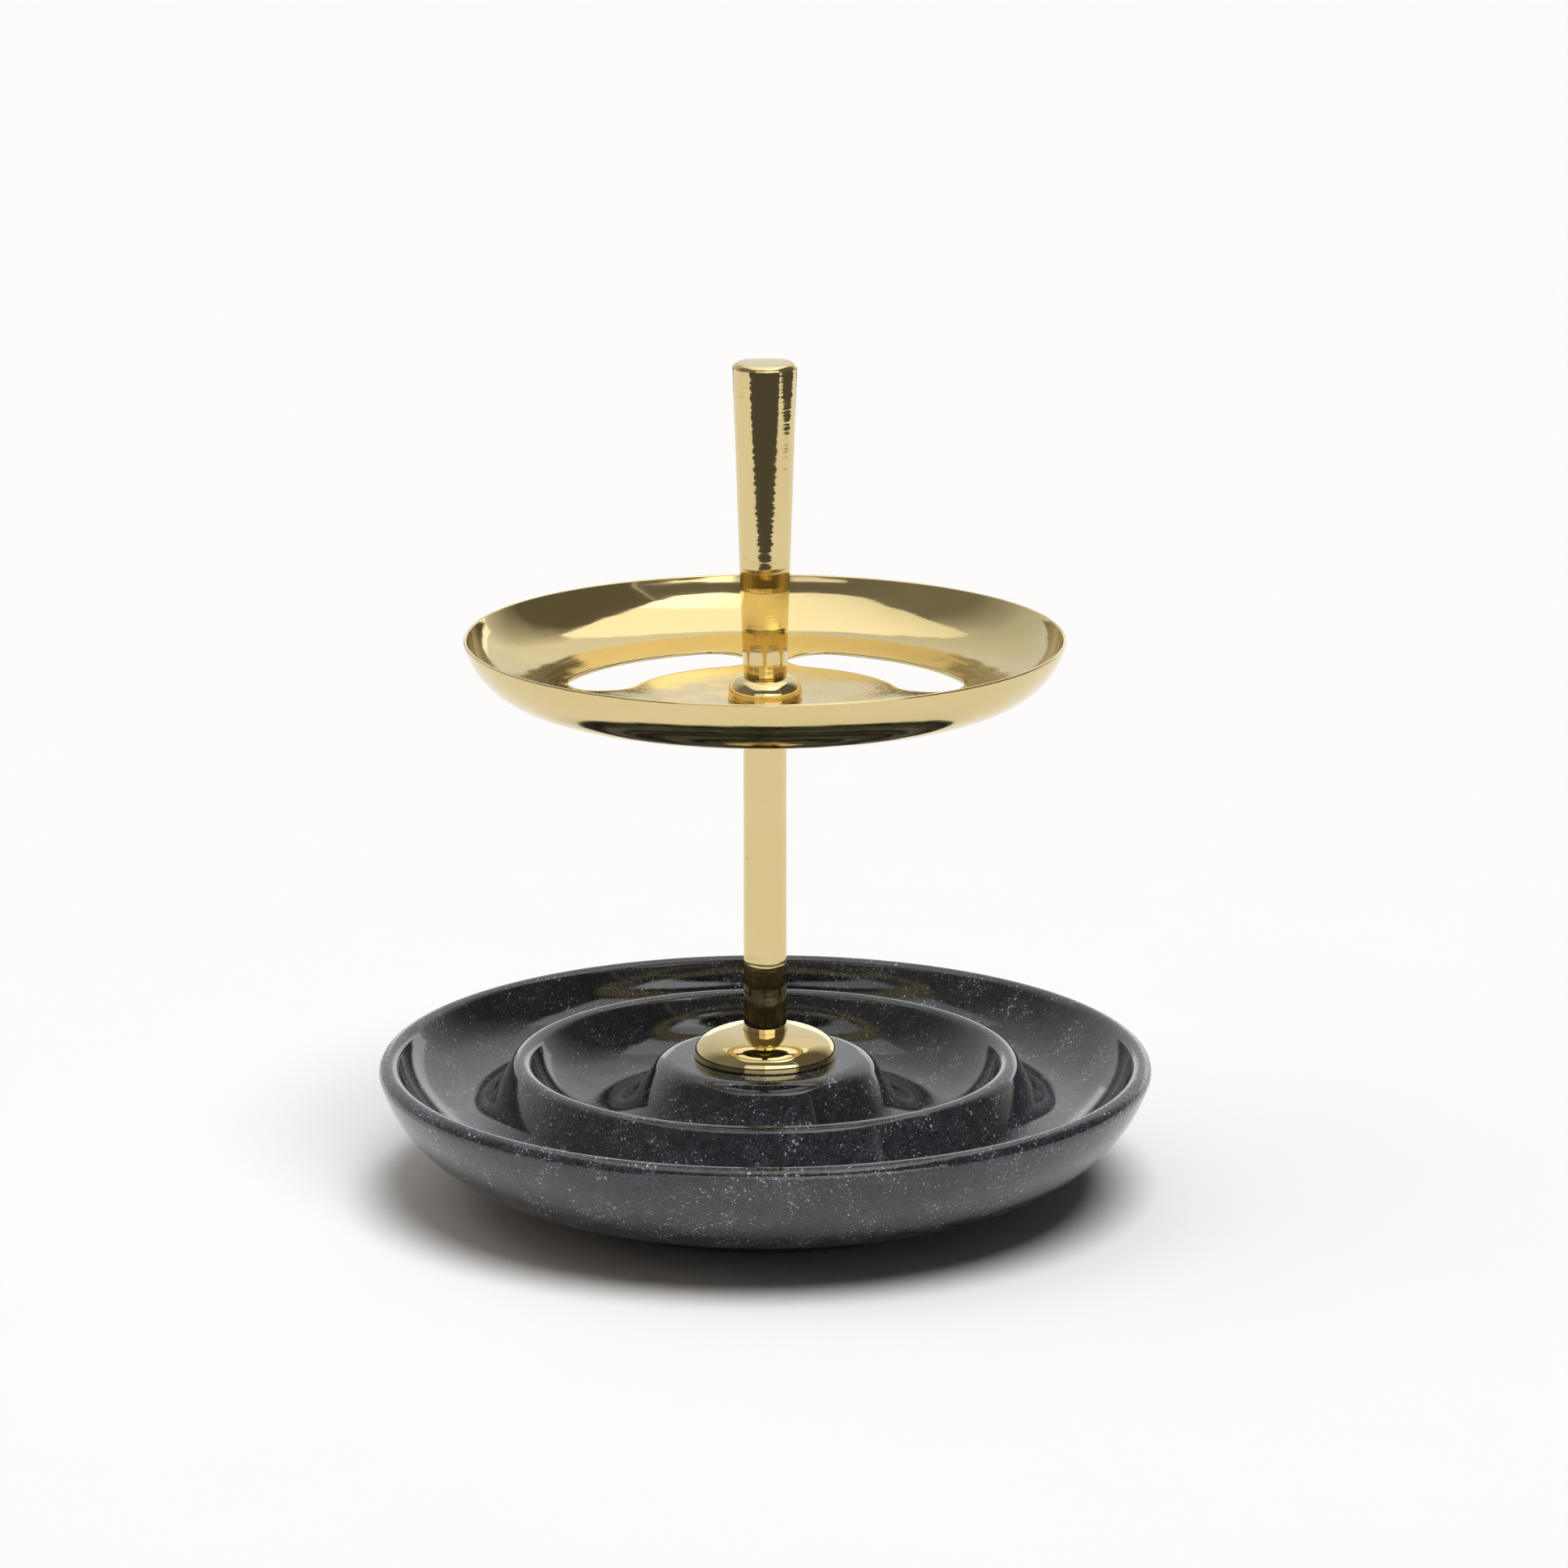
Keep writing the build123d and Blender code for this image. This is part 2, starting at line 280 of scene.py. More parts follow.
crowd = add(tree, "ShaderNodeMapRange", {
    "Value": drifts.outputs["Fac"], "From Min": 0.38, "From Max": 0.62,
    "To Min": 0.16, "To Max": 0.34,
})
chips = 0.0
for lie in ((0.4, 0.9, 0.2), (1.3, -0.5, 1.1), (-0.8, 0.4, 2.3)):
    cells = add(tree, "ShaderNodeMapping", {
        "Vector": wander.outputs[0], "Rotation": lie, "Scale": (1.3 * MM, 0.5 * MM, 0.5 * MM),
    }, vector_type="TEXTURE")
    cell = add(tree, "ShaderNodeTexVoronoi", {"Vector": cells.outputs[0], "Scale": 1.0})
    kind = add(tree, "ShaderNodeSeparateColor", {"Color": cell.outputs["Color"]})
    size = add(tree, "ShaderNodeMapRange", {
        "Value": kind.outputs["Red"], "From Min": 0.45, "To Max": crowd.outputs[0],
    })
    inside = add(tree, "ShaderNodeMath", {
        0: size.outputs[0], 1: cell.outputs["Distance"],
    }, operation="SUBTRACT")
    bright = add(tree, "ShaderNodeMapRange", {"Value": kind.outputs["Green"], "To Min": 0.15})
    chip = add(tree, "ShaderNodeMapRange", {
        "Value": inside.outputs[0], "From Max": 0.08, "To Max": bright.outputs[0],
    })
    most = add(tree, "ShaderNodeMath", {0: chip.outputs[0], 1: chips}, operation="MAXIMUM")
    chips = most.outputs[0]
cloudy = add(tree, "ShaderNodeMapRange", {
    "Value": clouds.outputs["Fac"], "From Min": 0.36, "From Max": 0.66,
})
ground = add(tree, "ShaderNodeMix", {
    0: cloudy.outputs[0], 6: linear("#0b0d10"), 7: linear("#2a2e35"),
}, data_type="RGBA")
grainy = add(tree, "ShaderNodeMix", {
    0: grain.outputs[0], 6: ground.outputs[2], 7: linear("#6f7780"),
}, data_type="RGBA")
stone_colour = add(tree, "ShaderNodeMix", {
    0: chips, 6: grainy.outputs[2], 7: linear("#d3dade"),
}, data_type="RGBA")
gloss = add(tree, "ShaderNodeMapRange", {
    "Value": clouds.outputs["Fac"], "From Min": 0.3, "From Max": 0.7,
    "To Min": 0.035, "To Max": 0.075,
})
apart = add(tree, "ShaderNodeSeparateXYZ", {"Vector": place})
flat_place = add(tree, "ShaderNodeCombineXYZ", {"X": apart.outputs["X"], "Y": apart.outputs["Y"]})
away = add(tree, "ShaderNodeVectorMath", {0: flat_place.outputs[0]}, operation="LENGTH")
at_lip = add(tree, "ShaderNodeMapRange", {
    "Value": away.outputs["Value"], "From Min": (BOWL_RADIUS - 2 * LIP_ROUND) * MM,
    "From Max": BOWL_RADIUS * MM, "To Max": 0.09 * MM,
})
rubbed_lip = add(tree, "ShaderNodeTexNoise", {
    "Vector": place, "Scale": 1 / (1.3 * MM), "Detail": 2.0,
})
lip_height = add(tree, "ShaderNodeMath", {
    0: rubbed_lip.outputs["Fac"], 1: at_lip.outputs[0],
}, operation="MULTIPLY")
lip_relief = add(tree, "ShaderNodeBump", {"Height": lip_height.outputs[0], "Distance": 1.0})
pits = add(tree, "ShaderNodeBump", {
    "Height": salt.outputs["Fac"], "Distance": 0.005 * MM, "Normal": lip_relief.outputs["Normal"],
})
shader = add(tree, "ShaderNodeBsdfPrincipled", {
    "Base Color": stone_colour.outputs[2], "Roughness": gloss.outputs[0], "IOR": 1.65,
    "Normal": pits.outputs["Normal"],
})
add(tree, "ShaderNodeOutputMaterial", {"Surface": shader.outputs["BSDF"]})

hub = (HUB_RADIUS, CREST - HUB_ROUND)
ring = (RING_RADIUS, CREST - RING_ROUND)
lip = (BOWL_RADIUS - LIP_ROUND, CREST - LIP_ROUND)
inner_groove, ring_end = groove(
    hub, HUB_ROUND, ring, RING_ROUND, INNER_DEPTH, INNER_LEAN, INNER_CORNER,
)
outer_groove, lip_inner_end = groove(
    ring, RING_ROUND, lip, LIP_ROUND, OUTER_DEPTH, OUTER_LEAN, OUTER_CORNER,
)
lip_end = at(lip, LIP_ROUND, -WALL_LEAN)
lean = math.tan(math.radians(WALL_LEAN))
rise = math.tan(math.radians(FOOT_RISE))
corner_run = (lip_end[0] - FOOT[0] - lean * (lip_end[1] - FOOT[1])) / (1 - lean * rise)
corner = (FOOT[0] + corner_run, FOOT[1] + corner_run * rise)
wall_radius = math.dist(lip_end, corner) / math.tan(math.radians(90 - WALL_LEAN - FOOT_RISE) / 2)
wall = at(lip_end, -wall_radius, -WALL_LEAN)
edge_run = FOOT_ROUND * math.tan(math.radians(FOOT_RISE) / 2)
foot_edge = (FOOT[0] - edge_run, FOOT[1] + FOOT_ROUND)
bowl_outline = (
    [(SCREW_HOLE, RECESS_LEVEL), (RECESS_RADIUS, RECESS_LEVEL), (RECESS_RADIUS, FOOT[1])]
    + bend(foot_edge, FOOT_ROUND, -90, FOOT_RISE - 90)
    + bend(wall, wall_radius, FOOT_RISE - 90, -WALL_LEAN, 2.5)
    + bend(lip, LIP_ROUND, -WALL_LEAN, lip_inner_end)
    + outer_groove
    + bend(ring, RING_ROUND, OUTER_LEAN, ring_end)
    + inner_groove
    + bend(hub, HUB_ROUND, INNER_LEAN, 90)
    + [(SCREW_HOLE, CREST)]
)
bowl = turn("granite_bowl", bowl_outline, granite)
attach(bowl, "root")
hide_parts("stone_base")

# Screw, washers and stud. A slotted screw with a spring washer and a wide flat washer draws the
# stem down on the stone, from the recess that the felt disc hides. A threaded stud joins stem and
# handle through the dish. All are steel, zinc plated.

# Zinc plate: bluish grey metal, not quite mirror bright, with the fine spangle of the plating.
zinc, tree = new_material("zinc_plated_steel")
place = add(tree, "ShaderNodeTexCoord").outputs["Object"]
spangle = add(tree, "ShaderNodeTexVoronoi", {"Vector": place, "Scale": 1 / (0.4 * MM)})
bloom = add(tree, "ShaderNodeTexNoise", {"Vector": place, "Scale": 1 / (1.5 * MM), "Detail": 3.0})
plate = add(tree, "ShaderNodeMix", {
    0: bloom.outputs["Fac"], 6: linear("#a9b0b6"), 7: linear("#c8cdd2"),
}, data_type="RGBA")
dull = add(tree, "ShaderNodeMapRange", {
    "Value": spangle.outputs["Distance"], "From Max": 0.8, "To Min": 0.22, "To Max": 0.38,
})
shader = add(tree, "ShaderNodeBsdfPrincipled", {
    "Base Color": plate.outputs[2], "Metallic": 1.0, "Roughness": dull.outputs[0],
})
add(tree, "ShaderNodeOutputMaterial", {"Surface": shader.outputs["BSDF"]})

for name in ("base_screw", "lock_washer", "base_washer", "handle_stud"):
    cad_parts[name].data.materials[0] = zinc

# Foot plate. A domed brass disc, turned and polished, laid on the polished hub,
# with a shallow seat that centres the stem.

FLANGE_RADIUS = 12.9
FLANGE_TOP = 31.0
FLANGE_EDGE = 0.9             # upright edge under the dome
FLANGE_FLAT = 5.0             # radius of the level middle
FLANGE_FOOT_EDGE = 0.25
SEAT_RADIUS = 4.0
SEAT_LEVEL = 29.0


def dome(foot, width, height):
    """Points of a dome's section: a quarter ellipse from its foot up to its top."""
    return [(foot[0] - width * (1 - x), foot[1] + height * y) for x, y in bend((0, 0), 1, 0, 90, 3)]


# Polished brass bar: a pale gold mirror. The tool's feed leaves faint rings along the bar that make
# the edges of tall reflections ragged, and there are a few pits and rubbed spots.
polished_brass, tree = new_material("polished_brass")
place = add(tree, "ShaderNodeTexCoord").outputs["Object"]
along = add(tree, "ShaderNodeMapping", {
    "Vector": place, "Scale": (1 / (9 * MM), 1 / (9 * MM), 1 / (1.1 * MM)),
})
feed = add(tree, "ShaderNodeTexNoise", {
    "Vector": along.outputs[0], "Scale": 1.0, "Detail": 1.5, "Roughness": 0.45,
})
rubbed = add(tree, "ShaderNodeTexNoise", {
    "Vector": place, "Scale": 1 / (11 * MM), "Detail": 4.0, "Roughness": 0.6,
})
nicks = add(tree, "ShaderNodeTexVoronoi", {"Vector": place, "Scale": 1 / (3.2 * MM)})
nick_kind = add(tree, "ShaderNodeSeparateColor", {"Color": nicks.outputs["Color"]})
nick_size = add(tree, "ShaderNodeMapRange", {
    "Value": nick_kind.outputs["Red"], "From Min": 0.6, "To Max": 0.05,
})
nick = add(tree, "ShaderNodeMath", {
    0: nicks.outputs["Distance"], 1: nick_size.outputs[0],
}, operation="LESS_THAN")
brass_tone = add(tree, "ShaderNodeMix", {
    0: rubbed.outputs["Fac"], 6: linear("#dfcc98"), 7: linear("#d5c088"),
}, data_type="RGBA")
brass_colour = add(tree, "ShaderNodeMix", {
    0: nick.outputs[0], 6: brass_tone.outputs[2], 7: linear("#4a3a1c"),
}, data_type="RGBA")
shine = add(tree, "ShaderNodeMapRange", {
    "Value": rubbed.outputs["Fac"], "From Min": 0.3, "From Max": 0.7,
    "To Min": 0.035, "To Max": 0.075,
})
ripple = add(tree, "ShaderNodeBump", {"Height": feed.outputs["Fac"], "Distance": 0.017 * MM})
shader = add(tree, "ShaderNodeBsdfPrincipled", {
    "Base Color": brass_colour.outputs[2], "Metallic": 1.0, "Roughness": shine.outputs[0],
    "Normal": ripple.outputs["Normal"],
})
add(tree, "ShaderNodeOutputMaterial", {"Surface": shader.outputs["BSDF"]})

flange_shoulder = (FLANGE_RADIUS, CREST + FLANGE_EDGE)
flange = turn("foot_plate", (
    [(SCREW_HOLE, CREST), (FLANGE_RADIUS - FLANGE_FOOT_EDGE, CREST)]
    + [(FLANGE_RADIUS, CREST + FLANGE_FOOT_EDGE)]
    + dome(flange_shoulder, FLANGE_RADIUS - FLANGE_FLAT, FLANGE_TOP - flange_shoulder[1])
    + [(SEAT_RADIUS, FLANGE_TOP), (SEAT_RADIUS, SEAT_LEVEL), (SCREW_HOLE, SEAT_LEVEL)]
), polished_brass)
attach(flange, "root")
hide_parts("foot_flange")

# Stem. Drawn brass bar cut to length, chamfered and tapped at both ends, standing in the foot
# plate's seat and carrying the dish on its upper end.

STEM_RADIUS = 3.9
STEM_EDGE = 0.3
DISH_UNDER = 92.0
SCREW_BORE = 2.1
FOOT_BORE_END = 41.0
TOP_BORE_END = 80.0

stem = turn("stem", [
    (0, FOOT_BORE_END), (SCREW_BORE, FOOT_BORE_END), (SCREW_BORE, SEAT_LEVEL),
    (STEM_RADIUS - STEM_EDGE, SEAT_LEVEL), (STEM_RADIUS, SEAT_LEVEL + STEM_EDGE),
    (STEM_RADIUS, DISH_UNDER - STEM_EDGE), (STEM_RADIUS - STEM_EDGE, DISH_UNDER),
    (SCREW_BORE, DISH_UNDER), (SCREW_BORE, TOP_BORE_END), (0, TOP_BORE_END),
], polished_brass)
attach(stem, "root")
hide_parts("lower_stem")

# Dish. Thin brass sheet spun to a shallow dish, its rim rounded off and four arc slots punched
# through the floor. The floor springs up by a hair between the collar, which clamps it, and the
# stiff wall.

DISH_RADIUS = 53.8
DISH_DEPTH = 11.5
SHEET = 0.6                   # thickness
RIM_STEEP = 75.8              # degrees from level, of the wall at the rim
FLOOR_RISE = 14.0             # degrees from level, where the floor's sweep meets the wall
FLOOR_SWEEP = 57.0            # radius of the floor's sweep, outside
SLOT_COUNT = 4
SLOT_WIDTH = 12.8
SLOT_RING = 31.0              # radius of the slots' middle line
SLOT_WEB = 7.0                # narrowest brass between two slots
SLOT_TURN = 44.0              # degrees from +X to the middle of the first slot
SLOT_EDGE = 0.15              # rounding of the slots' edges
SLOT_SIDE_STEPS = 40
SLOT_END_STEPS = 18
SLOT_MARGIN = 0.3             # kept free of mesh points round a slot's outline
FLOOR_JOIN = 40.0             # radius at which the slotted floor meets the turned wall
FLOOR_STEP = 0.9              # between the rings of mesh points on the floor
FLOOR_RINGS = 37
HOLE_RING = 4.5               # radius of the ring of mesh points next to the hole
FLOOR_SPRING = 0.45
SPRING_CLAMP = 6.65           # radius at which the collar holds the floor down
SPRING_TOP = 28.0             # radius at which the floor stands highest
HOLE_RADIUS = 2.25
FLAT_WELD = 1e-7              # points of the flat floor closer than this become one
SECTOR_WELD = 1e-4            # points of the shaped sector closer than this become one
SECTOR_STEPS = TURN_STEPS // SLOT_COUNT
SECTOR_HALF = 180 / SLOT_COUNT

floor_lift = FLOOR_SWEEP * (1 - math.cos(math.radians(FLOOR_RISE)))
dish_wall_radius = (DISH_DEPTH - floor_lift) / (
    math.cos(math.radians(FLOOR_RISE)) - math.cos(math.radians(RIM_STEEP))
)
dish_wall = (
    DISH_RADIUS - dish_wall_radius * math.sin(math.radians(RIM_STEEP)),
    DISH_UNDER + DISH_DEPTH + dish_wall_radius * math.cos(math.radians(RIM_STEEP)),
)
flat_radius = dish_wall[0] - (FLOOR_SWEEP - dish_wall_radius) * math.sin(math.radians(FLOOR_RISE))
dish_sweep = (flat_radius, DISH_UNDER + FLOOR_SWEEP)
rim = at(dish_wall, dish_wall_radius - SHEET / 2, RIM_STEEP - 90)


def floor_level(radius, sweep_radius):
    """Level of the dish's floor at a radius, for the sweep of its underside or its top."""
    run = max(0.0, radius - flat_radius)
    end = SPRING_CLAMP if radius < SPRING_TOP else FLOOR_JOIN
    share = min(1.0, max(0.0, (radius - end) / (SPRING_TOP - end)))
    spring = FLOOR_SPRING * share ** 2 * (3 - 2 * share)
    return dish_sweep[1] - math.sqrt(sweep_radius ** 2 - run ** 2) + spring


def floor_top(radius):
    """Level of the floor's top."""
    return floor_level(radius, FLOOR_SWEEP - SHEET)


def floor_under(radius):
    """Level of the floor's underside."""
    return floor_level(radius, FLOOR_SWEEP)


def polar(radius, angle):
    """Point of the plan at a radius and an angle in degrees."""
    return (radius * math.cos(math.radians(angle)), radius * math.sin(math.radians(angle)))


slot_half = SECTOR_HALF - math.degrees(math.asin((SLOT_WEB + SLOT_WIDTH) / (2 * SLOT_RING)))
slot_end = polar(SLOT_RING, slot_half)


def slot_clearance(x, y):
    """Distance from the slot's edge, negative inside the slot, whose middle lies on the X axis."""
    if abs(math.degrees(math.atan2(y, x))) <= slot_half:
        return abs(math.hypot(x, y) - SLOT_RING) - SLOT_WIDTH / 2
    return math.dist((x, abs(y)), slot_end) - SLOT_WIDTH / 2


def slot_loop(margin):
    """Closed outline at a margin outside the slot's edge."""
    reach = SLOT_WIDTH / 2 + margin
    half = SLOT_SIDE_STEPS // 2
    sides = range(-half, half)
    loop = [polar(SLOT_RING + reach, slot_half * step / half) for step in sides]
    for end in (1, -1):
        centre = polar(SLOT_RING, end * slot_half)
        start = slot_half if end > 0 else 180 - slot_half
        for step in range(SLOT_END_STEPS):
            away = polar(reach, start + 180 * step / SLOT_END_STEPS)
            loop.append((centre[0] + away[0], centre[1] + away[1]))
        if end > 0:
            loop += [polar(SLOT_RING - reach, -slot_half * step / half) for step in sides]
    return loop


def dish_sector():
    """Mesh of one sector of the dish, with its slot on the X axis."""
    angles = [SECTOR_HALF * (2 * step / SECTOR_STEPS - 1) for step in range(SECTOR_STEPS + 1)]
    radii = [HOLE_RADIUS, HOLE_RING]
    radii += [FLOOR_JOIN - FLOOR_STEP * step for step in range(FLOOR_RINGS, -1, -1)]
    flat = slot_loop(SLOT_EDGE)
    edges = [(number, (number + 1) % len(flat)) for number in range(len(flat))]
    for radius in radii:
        for angle in angles:
            point = polar(radius, angle)
            if slot_clearance(*point) > SLOT_EDGE + SLOT_MARGIN:
                flat.append(point)
    plan = [Vector(point) for point in flat]
    verts, _, faces, *_ = delaunay_2d_cdt(plan, edges, [], 0, FLAT_WELD)
    edit = bmesh.new()

    def layer(points, level):
        return [edit.verts.new((x, y, level(math.hypot(x, y)))) for x, y in points]

    # The floor's two sides, without the faces that lie inside the slot or the hole.
    top = layer(verts, floor_top)
    under = layer(verts, floor_under)
    hole_chord = HOLE_RADIUS * math.cos(math.radians(SECTOR_HALF / SECTOR_STEPS))
    for face in faces:
        x, y = (sum(verts[corner][axis] for corner in face) / 3 for axis in (0, 1))
        if slot_clearance(x, y) > SLOT_EDGE * 0.99 and math.hypot(x, y) > hole_chord:
            edit.faces.new([top[corner] for corner in face])
            edit.faces.new([under[corner] for corner in reversed(face)])

    # The slot's wall, with a rounded edge above and below.
    loops = []
    rounds = (0, 30, 60, 90)
    for angle in rounds:
        drop = SLOT_EDGE * (1 - math.cos(math.radians(angle)))
        points = slot_loop(SLOT_EDGE * (1 - math.sin(math.radians(angle))))
        loops.append(layer(points, lambda radius: floor_top(radius) - drop))
    for angle in reversed(rounds):
        lift = SLOT_EDGE * (1 - math.cos(math.radians(angle)))
        points = slot_loop(SLOT_EDGE * (1 - math.sin(math.radians(angle))))
        loops.append(layer(points, lambda radius: floor_under(radius) + lift))
    for upper, lower in zip(loops, loops[1:]):
        for number in range(len(upper)):
            after = (number + 1) % len(upper)
            edit.faces.new((upper[number], lower[number], lower[after], upper[after]))

    # The wall and rim, turned on from the floor's outer edge, and the hole's wall.
    join = math.degrees(math.asin((FLOOR_JOIN - flat_radius) / FLOOR_SWEEP))
    top_join = math.degrees(math.asin((FLOOR_JOIN - flat_radius) / (FLOOR_SWEEP - SHEET)))
    section = (
        bend(dish_sweep, FLOOR_SWEEP, join - 90, FLOOR_RISE - 90, 0.8)
        + bend(dish_wall, dish_wall_radius, FLOOR_RISE - 90, RIM_STEEP - 90, 3)[1:]
        + bend(rim, SHEET / 2, RIM_STEEP - 90, RIM_STEEP + 90, 15)[1:]
        + bend(dish_wall, dish_wall_radius - SHEET, RIM_STEEP - 90, FLOOR_RISE - 90, 3)[1:]
        + bend(dish_sweep, FLOOR_SWEEP - SHEET, FLOOR_RISE - 90, top_join - 90, 0.8)[1:]
    )
    hole = [(HOLE_RADIUS, floor_top(0)), (HOLE_RADIUS, floor_under(0))]
    for part in (section, hole):
        rows = [
            [edit.verts.new((*polar(radius, angle), level)) for angle in angles]
            for radius, level in part
        ]
        for low, high in zip(rows, rows[1:]):
            for number in range(SECTOR_STEPS):
                edit.faces.new((low[number], low[number + 1], high[number + 1], high[number]))
    bmesh.ops.remove_doubles(edit, verts=edit.verts, dist=SECTOR_WELD)
    bmesh.ops.scale(edit, vec=(MM, MM, MM), verts=edit.verts)
    mesh = bpy.data.meshes.new("dish_sector")
    edit.to_mesh(mesh)
    edit.free()
    return mesh


def round_pattern_tree():
    """Geometry Nodes pattern: sets copies of a sector round the Z axis and welds them."""
    tree = bpy.data.node_groups.new("sectors_round_the_axis", "GeometryNodeTree")
    face = tree.interface
    face.new_socket("Sector", in_out="INPUT", socket_type="NodeSocketGeometry")
    count = face.new_socket("Count", in_out="INPUT", socket_type="NodeSocketInt")
    first = face.new_socket("First turn", in_out="INPUT", socket_type="NodeSocketFloat")
    finish = face.new_socket("Material", in_out="INPUT", socket_type="NodeSocketMaterial")
    face.new_socket("Whole", in_out="OUTPUT", socket_type="NodeSocketGeometry")
    given = add(tree, "NodeGroupInput").outputs
    points = add(tree, "GeometryNodePoints", {"Count": given["Count"]})
    index = add(tree, "GeometryNodeInputIndex").outputs["Index"]
    share = add(tree, "ShaderNodeMath", {0: index, 1: given["Count"]}, operation="DIVIDE")
    angle = add(tree, "ShaderNodeMath", {
        0: share.outputs[0], 1: 2 * math.pi, 2: given["First turn"],
    }, operation="MULTIPLY_ADD")
    axis = add(tree, "ShaderNodeCombineXYZ", {"Z": angle.outputs[0]})
    turn_to = add(tree, "FunctionNodeEulerToRotation", {"Euler": axis.outputs[0]})
    copies = add(tree, "GeometryNodeInstanceOnPoints", {
        "Points": points.outputs[0], "Instance": given["Sector"], "Rotation": turn_to.outputs[0],
    })
    whole = add(tree, "GeometryNodeRealizeInstances", {"Geometry": copies.outputs[0]})
    welded = add(tree, "GeometryNodeMergeByDistance", {
        "Geometry": whole.outputs[0], "Distance": WELD * MM,
    })
    smooth = add(tree, "GeometryNodeSetShadeSmooth", {"Geometry": welded.outputs[0]})
    named = add(tree, "GeometryNodeSetMaterial", {
        "Geometry": smooth.outputs[0], "Material": given["Material"],
    })
    add(tree, "NodeGroupOutput", {"Whole": named.outputs[0]})
    return tree, count.identifier, first.identifier, finish.identifier


# Spun brass: the same metal as the bar, with the rings of the spinning tool round the dish, a satin
# of fine round scratches, and an orange-peel ripple where the floor was left as rolled.
spun_brass, tree = new_material("spun_brass")
place = add(tree, "ShaderNodeTexCoord").outputs["Object"]
apart = add(tree, "ShaderNodeSeparateXYZ", {"Vector": place})
flat_place = add(tree, "ShaderNodeCombineXYZ", {"X": apart.outputs["X"], "Y": apart.outputs["Y"]})
away = add(tree, "ShaderNodeVectorMath", {0: flat_place.outputs[0]}, operation="LENGTH")
ring_place = add(tree, "ShaderNodeCombineXYZ", {
    "X": away.outputs["Value"], "Z": apart.outputs["Z"],
})
ring_drift = add(tree, "ShaderNodeVectorMath", {0: place, "Scale": 0.06}, operation="SCALE")
ring_wander = add(tree, "ShaderNodeVectorMath", {
    0: ring_place.outputs[0], 1: ring_drift.outputs[0],
}, operation="ADD")
tool_rings = add(tree, "ShaderNodeTexNoise", {
    "Vector": ring_wander.outputs[0], "Scale": 1 / (1.6 * MM), "Detail": 1.5, "Roughness": 0.5,
})
brush = add(tree, "ShaderNodeTexNoise", {
    "Vector": ring_wander.outputs[0], "Scale": 1 / (0.25 * MM), "Detail": 2.0, "Roughness": 0.6,
})
peel = add(tree, "ShaderNodeTexNoise", {"Vector": place, "Scale": 1 / (0.8 * MM), "Detail": 1.0})
floor_only = add(tree, "ShaderNodeMapRange", {
    "Value": away.outputs["Value"], "From Min": 24 * MM, "From Max": 29 * MM,
    "To Min": 0.014 * MM, "To Max": 0.002 * MM,
})
peel_height = add(tree, "ShaderNodeMath", {
    0: peel.outputs["Fac"], 1: floor_only.outputs[0],
}, operation="MULTIPLY")
rubbed = add(tree, "ShaderNodeTexNoise", {
    "Vector": place, "Scale": 1 / (14 * MM), "Detail": 4.0, "Roughness": 0.6,
})
spun_tone = add(tree, "ShaderNodeMix", {
    0: rubbed.outputs["Fac"], 6: linear("#dfcc98"), 7: linear("#d5c088"),
}, data_type="RGBA")
shine = add(tree, "ShaderNodeMapRange", {
    "Value": brush.outputs["Fac"], "From Min": 0.25, "From Max": 0.75,
    "To Min": 0.05, "To Max": 0.13,
})
wavy = add(tree, "ShaderNodeTexNoise", {"Vector": place, "Scale": 1 / (9 * MM), "Detail": 1.0})
waves = add(tree, "ShaderNodeBump", {"Height": wavy.outputs["Fac"], "Distance": 0.12 * MM})
rings = add(tree, "ShaderNodeBump", {
    "Height": tool_rings.outputs["Fac"], "Distance": 0.018 * MM, "Normal": waves.outputs["Normal"],
})
peeled = add(tree, "ShaderNodeBump", {
    "Height": peel_height.outputs[0], "Distance": 1.0, "Normal": rings.outputs["Normal"],
})
brushed = add(tree, "ShaderNodeBump", {
    "Height": brush.outputs["Fac"], "Distance": 0.0008 * MM, "Normal": peeled.outputs["Normal"],
})
shader = add(tree, "ShaderNodeBsdfPrincipled", {
    "Base Color": spun_tone.outputs[2], "Metallic": 1.0, "Roughness": shine.outputs[0],
    "Normal": brushed.outputs["Normal"],
})
add(tree, "ShaderNodeOutputMaterial", {"Surface": shader.outputs["BSDF"]})

dish = bpy.data.objects.new("slotted_dish", dish_sector())
bpy.context.scene.collection.objects.link(dish)
pattern, pattern_count, pattern_turn, pattern_finish = round_pattern_tree()
modifier = dish.modifiers.new("sectors", "NODES")
modifier.node_group = pattern
modifier[pattern_count] = SLOT_COUNT
modifier[pattern_turn] = math.radians(SLOT_TURN)
modifier[pattern_finish] = spun_brass
made_plain(dish)
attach(dish, "root")
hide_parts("dish")

# Collar. A small domed brass ring, turned and polished, that clamps the dish on the stem's end
# and meets the handle at its own foot's width.

COLLAR_RADIUS = 6.65
COLLAR_LEVEL = 92.6
COLLAR_HEIGHT = 4.1
COLLAR_BAND = 1.1             # upright edge under the dome
COLLAR_FOOT_EDGE = 0.25
HANDLE_FOOT_RADIUS = 3.9

